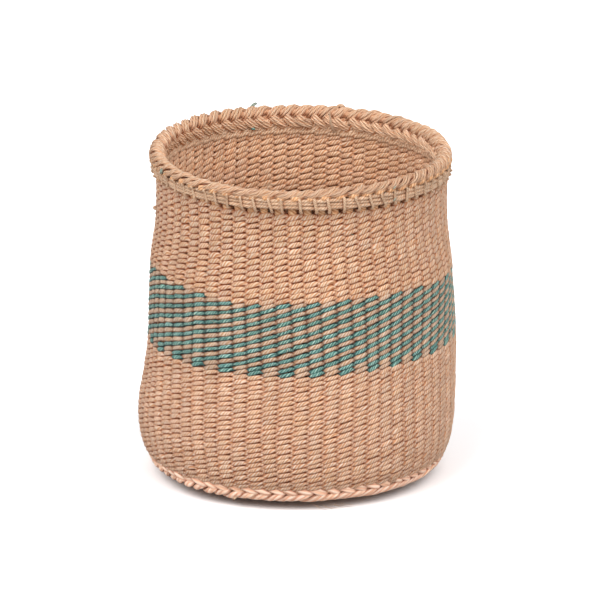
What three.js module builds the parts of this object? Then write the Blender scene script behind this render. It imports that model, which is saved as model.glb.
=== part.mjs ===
import * as THREE from 'three';

// A round basket twined from sisal cord, in millimetres, with +Z up.
// The origin is on the floor, under the middle of the base.
// Stakes carry everything. Long ones cross under the middle of the base and stand up at both ends.
// Short ones are added between them where the base has grown wide enough. The weft is twined round
// every stake, so each solid of weft has one passage for each stake that runs in it.

// Stakes
const cordsEachWay = 8; // long stakes laid side by side in each of the two crossing layers
const stakeSize = 1.15; // from the middle of a stake to the corners of its three-sided section
const gap = 0.3; // air between pieces that touch
const armWall = 0.7; // weft left between neighbouring passages round the crossing

// Weft
const weftOutside = 2.05; // from the middle of a stake to the outer face, over a column of stitches
const weftInside = 2.75; // from the middle of a stake to the inner face
const footWeft = 1.3; // the same as weftOutside, but behind the edge cord
const columnGroove = 0.6; // depth of the groove between two columns of stitches
const hubCover = 0.8; // weft above the upper layer of crossing stakes

// Outline
const flatRadius = 50; // where the underside leaves the floor and the short stakes begin
const footRadius = 66.9; // where the stakes pass behind the edge cord
const footHeight = 8.7;
const turnOut = 6.3; // from the foot to the middle of the turn into the wall
const turnUp = 3.3;
const bellyOut = 12.1; // from the stakes at the foot to the outer face where the basket is widest
const bellyHeight = 30;
const bandBottomDrawIn = 2.2; // how much nearer the axis than the belly the outer face is
const bandBottomHeight = 72.5;
const bandTopHeight = 108.3;
const wallTopDrawIn = 6.5;
const wallTopHeight = 153.2;

// Cords of the foot and the rim
const edgeCordRadius = 2.3;
const coreThickness = 3.9; // across the thick cord that lies round the rim
const coreHeight = 6;
const coreRounding = 1.2; // how far that cord's outer side is drawn in at its two edges
const lashSize = 0.75; // as stakeSize, for the thin lashing
const plaitThickness = 2.4; // of the plait inside the rim
const crestHeight = 5.35; // of the plait's crest over the rim
const crestOverhang = 1.1; // how far the crest reaches past the cord under it
const crestRounding = 2.2;

// Worked out from the sizes above
const armCount = 4 * cordsEachWay;
const stakeCount = 2 * armCount;
const columnStep = (2 * Math.PI) / stakeCount;
const passageSize = stakeSize + 2 * gap;
const sideShare = Math.sqrt(3) / 2; // half the width of a three-sided section of size 1
const hubRadius = (armCount * (2 * passageSize * sideShare + armWall)) / (2 * Math.PI);
const hubFace = hubRadius * Math.cos(Math.PI / armCount);
const layerStep = 1.5 * stakeSize + gap;
const hubHeight = weftOutside + layerStep + passageSize + hubCover;
const lashClear = gap + lashSize / 2; // from the middle of the lashing to what it lies against
const lashDepth = lashClear + lashSize;
const bellyRadius = footRadius + bellyOut;
const bandBottomRadius = bellyRadius - bandBottomDrawIn;
const wallTopRadius = bellyRadius - wallTopDrawIn;
const coreInner = wallTopRadius - weftOutside + stakeSize / 2 + gap;
const coreOuter = coreInner + coreThickness;
const coreBottom = wallTopHeight + gap + lashDepth;
const coreTop = coreBottom + coreHeight;
const crestBottom = coreTop + lashDepth + gap;
const tipHeight = crestBottom - gap;

// The line that the middle of every stake follows: distance from the axis, then height.
// From the bottom of the band to its tip a stake runs straight.
const bandBottom = new THREE.Vector2(bandBottomRadius - weftOutside, bandBottomHeight);
const wallTop = new THREE.Vector2(wallTopRadius - weftOutside, wallTopHeight);
function straightPart(height) {
  const share = (height - bandBottomHeight) / (wallTopHeight - bandBottomHeight);
  return bandBottom.clone().lerp(wallTop, share);
}
const stakeLine = {
  hub: new THREE.Vector2(hubFace, weftOutside),
  flat: new THREE.Vector2(flatRadius, weftOutside),
  foot: new THREE.Vector2(footRadius, footHeight),
  turn: new THREE.Vector2(footRadius + turnOut, footHeight + turnUp),
  belly: new THREE.Vector2(bellyRadius - weftOutside, bellyHeight),
  bandBottom,
  bandTop: straightPart(bandTopHeight),
  wallTop,
  tip: straightPart(tipHeight),
};
const stakePlaces = Object.keys(stakeLine);

// A place on the stake line, or a little before or after one of its corners. Its outward direction
// points out of the basket, and is longer where the line bends, as in a mitre.
function station(name, along = 0) {
  const index = stakePlaces.indexOf(name);
  const here = stakeLine[name];
  const before = stakeLine[stakePlaces[index - 1]] ?? here;
  const after = stakeLine[stakePlaces[index + 1]] ?? here;
  const arriving = here.clone().sub(before).normalize();
  const leaving = after.clone().sub(here).normalize();
  const heading = arriving.clone().add(leaving).normalize();
  const side = along < 0 || name === 'tip' ? arriving : leaving;
  return {
    point: here.clone().addScaledVector(side, along),
    outward: new THREE.Vector2(heading.y, -heading.x).divideScalar(heading.dot(side)),
    weft: name === 'foot' ? footWeft : weftOutside,
  };
}

function columnAngle(column) {
  return (column - cordsEachWay + 1) * columnStep;
}

// A point at an angle round the basket, some way out of the stake line and some way sideways.
function pointAt(place, angle, out, sideways = 0) {
  const radius = place.point.x + place.outward.x * out;
  const height = place.point.y + place.outward.y * out;
  return [
    radius * Math.cos(angle) - sideways * Math.sin(angle),
    radius * Math.sin(angle) + sideways * Math.cos(angle),
    height,
  ];
}

// The three corners of a stake or of its passage: the inner one, then the two outer ones.
function stakeSection(place, angle, size, lift = 0) {
  return [
    pointAt(place, angle, -size - lift),
    pointAt(place, angle, size / 2 - lift, size * sideShare),
    pointAt(place, angle, size / 2 - lift, -size * sideShare),
  ];
}

// A closed surface from its points and its triangles, which all turn the same way.
function solid(points, triangles) {
  const corner = (index) => new THREE.Vector3(...points[index]);
  let volume = 0;
  for (const [a, b, c] of triangles) {
    volume += corner(a).dot(corner(b).cross(corner(c)));
  }
  const facingOut = volume > 0 ? triangles : triangles.map(reversed);
  const geometry = new THREE.BufferGeometry();
  geometry.setAttribute('position', new THREE.Float32BufferAttribute(points.flat(), 3));
  geometry.setIndex(facingOut.flat());
  geometry.computeVertexNormals();
  return geometry;
}

function reversed([a, b, c]) {
  return [a, c, b];
}

function quad(a, b, c, d) {
  return [
    [a, b, c],
    [a, c, d],
  ];
}

// A rod through sections with the same number of corners, with two end faces or closed into a ring.
function loft(sections, ring = false) {
  const corners = sections[0].length;
  const triangles = [];
  const spans = ring ? sections.length : sections.length - 1;
  for (let span = 0; span < spans; span++) {
    const from = span * corners;
    const to = ((span + 1) % sections.length) * corners;
    for (let corner = 0; corner < corners; corner++) {
      const next = (corner + 1) % corners;
      triangles.push(...quad(from + corner, from + next, to + next, to + corner));
    }
  }
  if (!ring) {
    const end = (sections.length - 1) * corners;
    for (let corner = 1; corner < corners - 1; corner++) {
      triangles.push([0, corner + 1, corner]);
      triangles.push([end, end + corner, end + corner + 1]);
    }
  }
  return solid(sections.flat(), triangles);
}

// A ring with one section at each column. The outline gives distances from the axis and heights.
function ringCord(outlineAt) {
  const sections = [];
  for (let column = 0; column < stakeCount; column++) {
    const angle = columnAngle(column);
    const outline = outlineAt(column);
    sections.push(outline.map(([r, z]) => [r * Math.cos(angle), r * Math.sin(angle), z]));
  }
  return loft(sections, true);
}

// The end face of one column of weft, round the mouth of its passage. A column of the wall has a
// crest between its two outer corners, and one of the base has none.
function columnEnd(left, crest, right, innerLeft, innerRight, mouth) {
  const [mouthInner, mouthRight, mouthLeft] = mouth;
  const middle = crest ?? left;
  const triangles = [
    [middle, mouthRight, mouthLeft],
    [middle, right, mouthRight],
    [left, mouthLeft, innerLeft],
    [mouthLeft, mouthInner, innerLeft],
    [right, innerRight, mouthRight],
    [mouthRight, innerRight, mouthInner],
    [innerLeft, mouthInner, innerRight],
  ];
  if (crest !== null) {
    triangles.push([left, crest, mouthLeft]);
  }
  return triangles;
}

function passageWalls(from, to) {
  return [0, 1, 2].flatMap((corner) => {
    const next = (corner + 1) % 3;
    return quad(from[corner], from[next], to[next], to[corner]);
  });
}

// One zone of the wall's weft, between two places on the stake line: a column of stitches stands out
// over each stake, with a groove on both sides, and the stake's passage runs inside it.
function wallWeft(first, last) {
  const between = stakePlaces.slice(stakePlaces.indexOf(first) + 1, stakePlaces.indexOf(last));
  const places = [
    station(first, gap / 2),
    ...between.map((name) => station(name)),
    station(last, -gap / 2),
  ];

  const points = [];
  for (const place of places) {
    for (let column = 0; column < stakeCount; column++) {
      const angle = columnAngle(column);
      const groove = angle + columnStep / 2;
      points.push(pointAt(place, angle, place.weft));
      points.push(pointAt(place, groove, place.weft - columnGroove));
      points.push(pointAt(place, groove, -weftInside));
      points.push(...stakeSection(place, angle, passageSize));
    }
  }

  const pointsEach = 6;
  function columnCorners(level, column) {
    const own = (level * stakeCount + column) * pointsEach;
    const leftColumn = (column + stakeCount - 1) % stakeCount;
    const neighbour = (level * stakeCount + leftColumn) * pointsEach;
    return {
      left: neighbour + 1,
      crest: own,
      right: own + 1,
      innerLeft: neighbour + 2,
      innerRight: own + 2,
      mouth: [own + 3, own + 4, own + 5],
    };
  }

  const triangles = [];
  for (let column = 0; column < stakeCount; column++) {
    for (let level = 0; level < places.length; level++) {
      const here = columnCorners(level, column);
      const isFirst = level === 0;
      const isLast = level === places.length - 1;
      if (isFirst || isLast) {
        const { left, crest, right, innerLeft, innerRight, mouth } = here;
        const end = columnEnd(left, crest, right, innerLeft, innerRight, mouth);
        triangles.push(...(isFirst ? end.map(reversed) : end));
      }
      if (!isLast) {
        const above = columnCorners(level + 1, column);
        triangles.push(...quad(here.left, here.crest, above.crest, above.left));
        triangles.push(...quad(here.crest, here.right, above.right, above.crest));
        triangles.push(...quad(here.innerRight, here.innerLeft, above.innerLeft, above.innerRight));
        triangles.push(...passageWalls(here.mouth, above.mouth));
      }
    }
  }
  return solid(points, triangles);
}

// The long stakes that run along X lie over those that run along Y.
function liftAtHub(arm) {
  const quarter = Math.floor(arm / cordsEachWay);
  return quarter % 2 === 0 ? layerStep : 0;
}

// The weft of the base, from the crossing to the foot. It starts with a passage for each long stake,
// and past the flat part it has one for each short stake too.
function baseWeft() {
  const hub = station('hub');
  const flat = station('flat');
  const edge = station('foot', -gap / 2);
  const points = [];
  const add = (point) => points.push(point) - 1;
  const addAll = (section) => section.map(add);

  const hubBelow = [];
  const hubAbove = [];
  const armMouths = [];
  for (let arm = 0; arm < armCount; arm++) {
    const angle = columnAngle(2 * arm);
    const between = angle + columnStep;
    const corner = [hubRadius * Math.cos(between), hubRadius * Math.sin(between)];
    hubBelow.push(add([...corner, 0]));
    hubAbove.push(add([...corner, hubHeight]));
    armMouths.push(addAll(stakeSection(hub, angle, passageSize, liftAtHub(arm))));
  }
  const rings = [flat, edge].map((place) => {
    const ring = { below: [], above: [], mouths: [] };
    for (let column = 0; column < stakeCount; column++) {
      const angle = columnAngle(column);
      const between = angle + columnStep / 2;
      ring.below.push(add(pointAt(place, between, place.weft)));
      ring.above.push(add(pointAt(place, between, -weftInside)));
      ring.mouths.push(addAll(stakeSection(place, angle, passageSize)));
    }
    return ring;
  });
  const [inner, outer] = rings;

  const triangles = [];
  for (let arm = 0; arm < armCount; arm++) {
    const previous = (arm + armCount - 1) % armCount;
    const column = 2 * arm;
    const left = (column + stakeCount - 1) % stakeCount;
    const farLeft = (column + stakeCount - 2) % stakeCount;
    const end = columnEnd(
      hubBelow[previous], null, hubBelow[arm], hubAbove[previous], hubAbove[arm], armMouths[arm],
    );
    triangles.push(...end.map(reversed));
    const fan = (from, ring) => [
      [from[previous], ring[left], ring[farLeft]],
      [from[previous], ring[column], ring[left]],
      [from[previous], from[arm], ring[column]],
    ];
    triangles.push(...fan(hubBelow, inner.below));
    triangles.push(...fan(hubAbove, inner.above).map(reversed));
    triangles.push(...passageWalls(armMouths[arm], inner.mouths[column]));
    triangles.push(reversed(inner.mouths[column + 1]));
  }
  for (let column = 0; column < stakeCount; column++) {
    const left = (column + stakeCount - 1) % stakeCount;
    triangles.push(
      ...quad(inner.below[left], inner.below[column], outer.below[column], outer.below[left]),
      ...quad(inner.above[column], inner.above[left], outer.above[left], outer.above[column]),
      ...passageWalls(inner.mouths[column], outer.mouths[column]),
      ...columnEnd(
        outer.below[left], null, outer.below[column],
        outer.above[left], outer.above[column], outer.mouths[column],
      ),
    );
  }
  return solid(points, triangles);
}

// The corners of the stake line that a stake bends at past the flat part, and its end.
const stakeBends = ['foot', 'turn', 'belly', 'bandBottom', 'tip'];

// A stake cord that comes down one side of the basket, crosses under its middle and goes up again.
function crossingStake(firstArm, lastArm) {
  const halfOf = (arm) =>
    ['hub', 'flat', ...stakeBends].map((name) => {
      const lift = name === 'hub' ? liftAtHub(arm) : 0;
      return stakeSection(station(name), columnAngle(2 * arm), stakeSize, lift);
    });
  const comingDown = halfOf(firstArm).reverse();
  const goingUp = halfOf(lastArm).map(reversed);
  return loft([...comingDown, ...goingUp]);
}

function addedStake(column) {
  const places = [station('flat', gap), ...stakeBends.map((name) => station(name))];
  return loft(places.map((place) => stakeSection(place, columnAngle(column), stakeSize)));
}

// The cord laid round the foot, where the base turns into the wall. It makes a quarter turn on
// itself from each column to the next.
function edgeCord() {
  const behind = station('foot');
  const middle = behind.point
    .clone()
    .addScaledVector(behind.outward, footWeft + gap + edgeCordRadius);
  return ringCord(() =>
    [0, 1, 2, 3].map((corner) => {
      const turn = (corner * Math.PI) / 2;
      return [middle.x + edgeCordRadius * Math.cos(turn), middle.y + edgeCordRadius * Math.sin(turn)];
    }),
  );
}

// The thick cord laid round the outside of the stakes, above the weft.
function rimCoreCord() {
  return ringCord(() => [
    [coreInner, coreBottom],
    [coreOuter - coreRounding, coreBottom],
    [coreOuter, (coreBottom + coreTop) / 2],
    [coreOuter - coreRounding, coreTop],
    [coreInner, coreTop],
  ]);
}

// One thin cord that ties the thick one to every stake. Between two stakes it stands upright on the
// thick cord's outside and passes over it, then it slants down behind the next stake and comes out
// below the thick cord on that stake's other side.
function rimLashing() {
  const above = coreTop + lashClear;
  const below = coreBottom - lashClear;
  const behindStake = stakeSize + lashClear;
  const bends = [
    [coreOuter + lashClear, below, 1, -1],
    [coreOuter + lashClear, above, 1, 1],
    [straightPart(above).x - behindStake, above, -1, 1],
    [straightPart(below).x - behindStake, below, -1, -1],
  ];
  const sections = [];
  for (let column = 0; column < stakeCount; column++) {
    bends.forEach(([radius, height, outwardR, outwardZ], bend) => {
      const place = {
        point: new THREE.Vector2(radius, height),
        outward: new THREE.Vector2(outwardR, outwardZ),
      };
      const last = bend === bends.length - 1;
      const between = columnAngle(last ? column + 1 : column) + columnStep / 2;
      sections.push(stakeSection(place, between, -lashSize));
    });
  }
  return loft(sections, true);
}

// The plaited border: it lines the stakes and their lashing on the inside, and covers the stakes'
// tips with its crest.
function rimPlait() {
  const back = straightPart(coreTop + lashClear).x - stakeSize - lashDepth - gap;
  const front = back - plaitThickness;
  const bottom = wallTopHeight + gap;
  const crestOuter = coreOuter + crestOverhang;
  const crestTop = crestBottom + crestHeight;
  return ringCord(() => [
    [back, bottom],
    [back, crestBottom],
    [crestOuter - crestRounding / 2, crestBottom],
    [crestOuter, crestBottom + crestRounding],
    [crestOuter - crestRounding, crestTop],
    [front + crestRounding / 2, crestTop - crestRounding / 2],
    [front, bottom],
  ]);
}

const naturalColour = '#d9ae8c';
const bandColour = '#a9ad95';
const paleColour = '#dfc09c';
const stakeColour = '#c98f5e';

const basket = new THREE.Group();

function addPiece(name, geometry, color) {
  const material = new THREE.MeshStandardMaterial({ color, roughness: 0.88, metalness: 0 });
  const piece = new THREE.Mesh(geometry, material);
  piece.name = name;
  basket.add(piece);
}

addPiece('base_weft', baseWeft(), naturalColour);
addPiece('base_edge_cord', edgeCord(), naturalColour);
addPiece('wall_foot_weft', wallWeft('foot', 'belly'), naturalColour);
addPiece('wall_lower_weft', wallWeft('belly', 'bandBottom'), naturalColour);
addPiece('wall_band_weft', wallWeft('bandBottom', 'bandTop'), bandColour);
addPiece('wall_upper_weft', wallWeft('bandTop', 'wallTop'), naturalColour);
addPiece('rim_core_cord', rimCoreCord(), paleColour);
addPiece('rim_lashing', rimLashing(), paleColour);
addPiece('rim_plait', rimPlait(), paleColour);
for (let cord = 0; cord < cordsEachWay; cord++) {
  const opposite = 3 * cordsEachWay - 1 - cord;
  const alongX = crossingStake(cord, opposite);
  const alongY = crossingStake(cordsEachWay + cord, cordsEachWay + opposite);
  addPiece(`crossing_stake_x_${cord + 1}`, alongX, stakeColour);
  addPiece(`crossing_stake_y_${cord + 1}`, alongY, stakeColour);
}
for (let arm = 0; arm < armCount; arm++) {
  addPiece(`added_stake_${arm + 1}`, addedStake(2 * arm + 1), stakeColour);
}

export default basket;
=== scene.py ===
"""The visual model of a round basket twined from sisal cord, built round its CAD frame."""

import math
from collections import namedtuple

import bpy
import numpy as np
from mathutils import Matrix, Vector


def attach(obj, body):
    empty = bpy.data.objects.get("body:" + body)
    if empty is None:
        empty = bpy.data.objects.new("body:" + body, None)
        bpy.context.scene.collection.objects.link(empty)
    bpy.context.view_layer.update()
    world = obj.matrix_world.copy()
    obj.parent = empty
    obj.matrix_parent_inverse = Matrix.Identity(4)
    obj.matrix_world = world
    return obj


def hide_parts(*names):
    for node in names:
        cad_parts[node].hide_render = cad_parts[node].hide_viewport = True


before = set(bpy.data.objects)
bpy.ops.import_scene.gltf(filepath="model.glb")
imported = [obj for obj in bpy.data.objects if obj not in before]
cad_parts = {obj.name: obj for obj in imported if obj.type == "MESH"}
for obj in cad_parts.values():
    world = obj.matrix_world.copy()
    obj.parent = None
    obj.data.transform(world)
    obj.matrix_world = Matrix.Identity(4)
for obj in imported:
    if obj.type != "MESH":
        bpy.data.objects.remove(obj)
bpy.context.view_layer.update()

MM = 0.001
rng = np.random.default_rng(11)

# Stakes and columns. A column of stitches stands over each stake, and u counts columns.
COLUMNS = 64
ARMS = 32  # of the long stakes, which lie on the even columns; the short stakes lie on the odd ones
STEP = 2 * math.pi / COLUMNS
FIRST_COLUMN = 7.1  # the column on the +X axis
COLUMN_WIDTH = 7.0
TWIST = -0.000567  # radians that the columns turn for each millimetre up
TWIST_CENTRE = 72.7
FLOOR_GAP = 0.04  # nothing lies lower

# The line that the stakes follow, in millimetres: distance from the axis, height.
STAKE_LINE = np.array([
    (0, 2.3), (19, 2.25), (35, 2.2), (50, 2.2), (57, 3.9), (63, 6.6), (68.6, 9.3),
    (72.4, 12.2), (74.6, 16.5), (75.8, 22), (76.7, 30), (76.75, 38), (76.4, 44.3),
    (75.9, 50.6), (75.5, 56.9), (74.9, 66.3), (74.4, 76), (73.95, 88.3), (73.6, 98),
    (73.3, 107), (72.9, 113.4), (71.9, 119.6), (71, 126), (70.4, 132), (70.2, 141.6),
    (70.5, 151), (70.4, 157), (70, 164),
])
# How far the basket leans: height, millimetres towards +X.
AXIS_SHIFT = np.array([
    (0, -2.3), (25, -2.1), (38, -1.5), (47, -0.6), (57, 0.2), (66, 0.9), (80, 0.9),
    (107, 0.6), (132, 0.5), (151, 0.6), (163, 0.1), (170, 0),
])

# Twining. The natural courses and those of the band differ in how far a strand's face falls back at the
# sides of the stake, in half of how far it climbs from side to side of a column, in how much its stitches
# differ in value, in the painted shade where it dives, and in how strong all its painted shade is.
Weave = namedtuple("Weave", "drop slant unlike corner shade")
PLAIN = Weave(drop=0.3, slant=0.74, unlike=0.6, corner=0.6, shade=1.0)
BANDED = Weave(drop=0.55, slant=0.9, unlike=1.1, corner=0.7, shade=1.5)
WALL_FACE = 2.1  # from the stake line to the face of a strand that passes over a stake
BEHIND = 0.5  # how far behind the stake line the face lies when the strand passes behind a stake
LAG = 0.09  # columns by which a strand dives later than it climbs, so that stitches overlap
TEAL_SIZE = 0.93  # the teal strand is thinner than the natural one beside it
BESIDE_TEAL_SIZE = 1.04
# By how much the stitches and the turn of the plies vary: shares of a size, millimetres and turns.
SIZE_SPREAD = 0.065
SIZE_WAVE = 0.035
NUDGE = 0.13
STEEPNESS_SPREAD = 0.17
FACE_SPREAD = 0.08
TURN_WAVE = 0.17
# The inside is painted lighter and warmer, as painted bounce light from the fibre round it, and it gets less
# painted shade.
INSIDE_PAINTED_LIGHT = 2.4  # painted light, as light that bounces round inside the basket
INSIDE_PAINTED_BOUNCE = 0.8
INSIDE_SHADE = 0.4
PIECE_ROWS = 7
PLY_PITCH = 6.8
PLY_BUNDLES = 4  # bundles of fibre that show in one turn of the plies
SECTION = 10
STEPS = 11  # of each column

# The courses: how many, and at what heights they begin and end
LOWER_ROWS = 24
LOWER_FIRST = 13.7
BAND_ROWS = 16
BAND_FIRST = 72.2
BAND_PITCH = 2.34
UPPER_ROWS = 16
UPPER_LAST = 151.2
UNDER_BAND = 2.45  # from the course below the band to its first one
COURSE_STEP = 2.6  # likewise above the band and at the foot


def smooth(low, high, value):
    share = np.clip((value - low) / (high - low), 0, 1)
    return share * share * (3 - 2 * share)


def unit(vectors):
    return vectors / np.linalg.norm(vectors, axis=1)[:, None]


def gone_along(points):
    """How far a line has gone at each of its points."""
    return np.concatenate([[0], np.cumsum(np.linalg.norm(np.diff(points, axis=0), axis=1))])


def around(values, u):
    """A smooth curve through values that are evenly spaced round the basket."""
    count = len(values)
    position = u * count / COLUMNS
    low = np.floor(position).astype(int)
    share = (1 - np.cos(np.pi * (position - low))) / 2
    return values[low % count] * (1 - share) + values[(low + 1) % count] * share


def uneven(u, spread, count=COLUMNS):
    """A random curve round the basket, with so many turning points."""
    return spread * around(rng.normal(0, 1, count), u)


def by_angle(table, u):
    """The value at column u of a table that starts on the +X axis and goes round through the back."""
    return around(table, (u - FIRST_COLUMN) % COLUMNS)


class Guide:
    """The stake line, measured along its length."""

    SPACING = 0.1
    BLUR = 41  # points over which its corners are rounded
    WALL = 60  # the whole wall lies further out than this
    BASE = 70  # and the whole base nearer than this

    def __init__(self, points):
        knots = gone_along(points)
        self.at = np.arange(0, knots[-1], self.SPACING)
        line = np.stack([np.interp(self.at, knots, values) for values in points.T], 1)
        kernel = np.hanning(self.BLUR + 2)[1:-1]
        kernel /= kernel.sum()
        beyond = ((self.BLUR // 2, self.BLUR // 2), (0, 0))
        padded = np.pad(line, beyond, mode="reflect", reflect_type="odd")
        self.line = np.stack([np.convolve(values, kernel, "valid") for values in padded.T], 1)
        along = unit(np.gradient(self.line, axis=0))
        self.normal = np.stack([along[:, 1], -along[:, 0]], 1)

    def point(self, length):
        return [np.interp(length, self.at, values) for values in self.line.T]

    def outward(self, length):
        return [np.interp(length, self.at, values) for values in self.normal.T]

    def length_at_height(self, height):
        up = self.line[:, 1]
        start = np.argmax(self.line[:, 0] > self.WALL)
        return np.interp(height, up[start:], self.at[start:])

    def length_at_radius(self, radius):
        stop = np.argmax(self.line[:, 0] > self.BASE)
        return np.interp(radius, self.line[:stop, 0], self.at[:stop])


guide = Guide(STAKE_LINE)

# Tables round the basket, in millimetres: how much higher or lower the crest and the thick cord lie.
CREST_RISE = np.array([0, 1.3, 1, 1.4, 1.4, 1.8, 2.6, 2.3, 1.6, 0.9, -0.1, -0.8, -0.6, 0.1, 0.3, 0.2])
CORD_RISE = np.array([-0.4, -0.6, -0.6, -0.4, -0.1, 0.4, 1, 1.2, 1.2, 1.2, 1.5, 1.8, 1.9, 1.6, 0.6, -0.5])
# At the sides and the back the wall stands right against the thick cord. 1 means that it does.
FLUSH = np.array([1, 1, 1, 1, 1, 1, 1, 1, 1, 1, 0.95, 0.15, 0, 0, 0.6, 1])
FLUSH_RISE = 2.0
# The band rises and falls too, and its columns drift sideways, at its lower and at its upper edge.
BAND_EDGES = (72.0, 107.5)
FADED = (25.0, 140.0)  # at these heights nothing is left of it
LOW_RISE = np.array([1, 0.3, 0, 0, 0, 0, 0, -0.3, -0.8, -1.3, -0.6, -0.3, -0.1, 1.3, 1.7, 1.9])
TOP_RISE = np.array([-1.5, -0.5, 0, 0, 0, 0, 0, 0, 0.3, 1.8, 0.6, -1.4, 0.3, 1.4, 1, -1.6])
LOW_DRIFT = np.array([-0.3, -0.1, 0, 0, 0, 0, 0, -0.3, -0.9, -1.1, -0.7, -0.15, 0, 0, -0.3, -0.4])
TOP_DRIFT = np.array([0.4, 0.2, 0, 0, 0, 0, 0, -0.1, -0.5, -0.7, -0.33, -0.15, 0, 0.12, 0.24, 0.6])
# Heights: where the rim's rise begins, of the thick cord, of the crest and of the top.
RIM_START = 118.0
CORD_LEVEL = 158.0
CREST_LEVEL = 165.0
TOP = 170.0

# The columns waver sideways at nine heights, and the wall swells in and out at seven.
FULLER = 1.005  # the basket as made is this much wider than the stake line says
WAVER = 0.045
waver = rng.normal(0, 1, (9, COLUMNS))
SWELL = 0.16
SWELL_FIRST = 8
SWELL_PITCH = 25
SWELL_WIDTH = 17
swell = rng.normal(0, 1, (7, 24))


def layer_of(level, layers):
    """The layer under a level that is counted in layers, and how far the level is on the way to the next."""
    level = np.clip(level, 0, len(layers) - 1.001)
    low = np.floor(level).astype(int)
    return low, level - low


def wavering(u, height):
    """How many columns a point has drifted sideways by chance."""
    low, share = layer_of(height / TOP * (len(waver) - 1), waver)
    whole = np.floor(u).astype(int)
    part = (1 - np.cos(np.pi * (u - whole))) / 2
    corner = [waver[low + i, (whole + j) % COLUMNS] for i in (0, 1) for j in (0, 1)]
    below = corner[0] * (1 - part) + corner[1] * part
    above = corner[2] * (1 - part) + corner[3] * part
    return WAVER * (below * (1 - share) + above * share)


def place(radius, u, height):
    """Points of the basket as made by hand: it leans, its columns waver and its rim is uneven."""
    low_share = np.interp(height, [FADED[0], *BAND_EDGES], [0, 1, 0])
    top_share = np.interp(height, [*BAND_EDGES, FADED[1]], [0, 1, 0])
    drift = wavering(u, height) * smooth(20, 60, radius)
    drift = drift + by_angle(LOW_DRIFT, u) * low_share + by_angle(TOP_DRIFT, u) * top_share
    turned = TWIST * (height - TWIST_CENTRE) * smooth(0, 60, radius)
    angle = (u + drift - FIRST_COLUMN) * STEP + turned
    bulge = sum(
        SWELL * around(values, u) * np.exp(-(((height - SWELL_PITCH * i - SWELL_FIRST) / SWELL_WIDTH) ** 2))
        for i, values in enumerate(swell)
    )
    crest_share = smooth(CORD_LEVEL + 2, CREST_LEVEL, height)
    at_cord = by_angle(CORD_RISE, u) * smooth(RIM_START, CORD_LEVEL, height)
    against_cord = smooth(126, 152, height) * (1 - smooth(153.4, 158.5, height))
    rise = at_cord * (1 - crest_share) + by_angle(CREST_RISE, u) * crest_share
    rise = rise + by_angle(LOW_RISE, u) * low_share + by_angle(TOP_RISE, u) * top_share
    rise = rise + FLUSH_RISE * by_angle(FLUSH, u) * against_cord
    lifted = np.maximum(height + rise, FLOOR_GAP)
    shift = np.interp(height, *AXIS_SHIFT.T)
    reach = radius * FULLER + bulge * smooth(30, 70, radius)
    return np.stack([reach * np.cos(angle) + shift, reach * np.sin(angle), lifted], -1) * MM


def tones(value=0.0, warmth=0.0, depth=0.0, dyed=0.0):
    """A tone for a whole cord, or one for each step or point of it: brightness, hue, painted shade, how teal.
    """
    return np.stack(np.broadcast_arrays(value, warmth, depth, dyed), -1)


def new_object(name, data):
    obj = bpy.data.objects.new(name, data)
    bpy.context.scene.collection.objects.link(obj)
    return obj


def face_corners(rows, columns, rows_after, columns_after, turned):
    """The four corners of each face of a grid, from where its rows and columns begin and end."""
    a, b = np.meshgrid(rows, columns, indexing="ij")
    c, d = np.meshgrid(rows_after, columns_after, indexing="ij")
    corners = np.stack([np.stack(corner, -1) for corner in ((a, b), (a, d), (c, d), (c, b))], 2)
    return (corners[:, :, ::-1] if turned else corners).reshape(-1, 2)


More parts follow.
